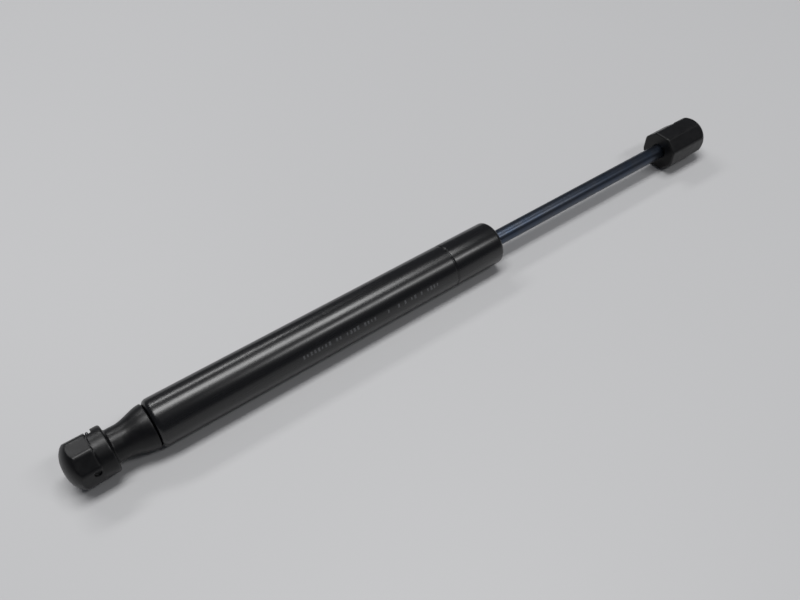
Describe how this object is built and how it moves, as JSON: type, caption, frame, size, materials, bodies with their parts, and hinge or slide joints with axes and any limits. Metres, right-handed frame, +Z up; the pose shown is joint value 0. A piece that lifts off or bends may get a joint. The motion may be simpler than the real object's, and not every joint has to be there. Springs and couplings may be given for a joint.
{
  "type": "gas strut stay",
  "caption": "Gas spring stay: black pressure tube, dark sliding rod that turns in its guide, and a ball-socket fitting with a wire clip on each end.",
  "frame": {"origin": "on the surface that the tube lies on, under the middle of the extended strut's length", "axes": "+X along the strut towards the rod end, +Z up, both ball sockets open towards +Y"},
  "size_m": [0.38, 0.022, 0.0219],
  "materials": {
    "black_paint": "gloss black paint",
    "plated_steel": "zinc plated",
    "black_rubber": "matt",
    "black_nylon": "moulded, lightly textured",
    "brass": "turned",
    "guide_plastic": "machined plastic",
    "spring_steel": "blackened wire",
    "nitrided_steel": "blue-black nitrided, polished",
    "amber_polyurethane": "moulded",
    "sintered_steel": "sintered"
  },
  "bodies": {
    "cylinder": {"cylinder_tube": "black_paint", "cylinder_end_socket": "black_nylon", "end_plug": "plated_steel", "end_plug_seal": "black_rubber", "cylinder_stud": "plated_steel", "cylinder_socket_insert": "brass", "seal_support_ring": "plated_steel", "rod_seal": "black_rubber", "guide_washer": "plated_steel", "rod_guide": "guide_plastic", "rod_wiper": "black_rubber"},
    "cylinder_clip": {"cylinder_socket_clip": "spring_steel"},
    "piston_ring": {"piston_ring": "guide_plastic"},
    "rod": {"piston_rod": "nitrided_steel", "rod_end_socket": "black_nylon", "rebound_cushion": "amber_polyurethane", "throttle_disc": "plated_steel", "piston": "sintered_steel", "piston_washer": "plated_steel", "piston_nut": "plated_steel", "rod_socket_insert": "brass"},
    "rod_clip": {"rod_socket_clip": "spring_steel"}
  },
  "joints": [
    {"name": "rod_slide", "type": "slide", "parent": "cylinder", "child": "piston_ring", "axis": [1, 0, 0], "range_m": [-0.12, 0], "stiffness_N_per_m": 300, "springref_m": 0.333},
    {"name": "rod_turn", "type": "hinge", "parent": "piston_ring", "child": "rod", "pos_m": [0, 0, 0.01096], "axis": [1, 0, 0], "continuous": true},
    {"name": "cylinder_clip_release", "type": "slide", "parent": "cylinder", "child": "cylinder_clip", "axis": [1, 0, 0], "range_m": [0, 0.0009], "stiffness_N_per_m": 60},
    {"name": "rod_clip_release", "type": "slide", "parent": "rod", "child": "rod_clip", "axis": [-1, 0, 0], "range_m": [0, 0.0009], "stiffness_N_per_m": 60}
  ]
}
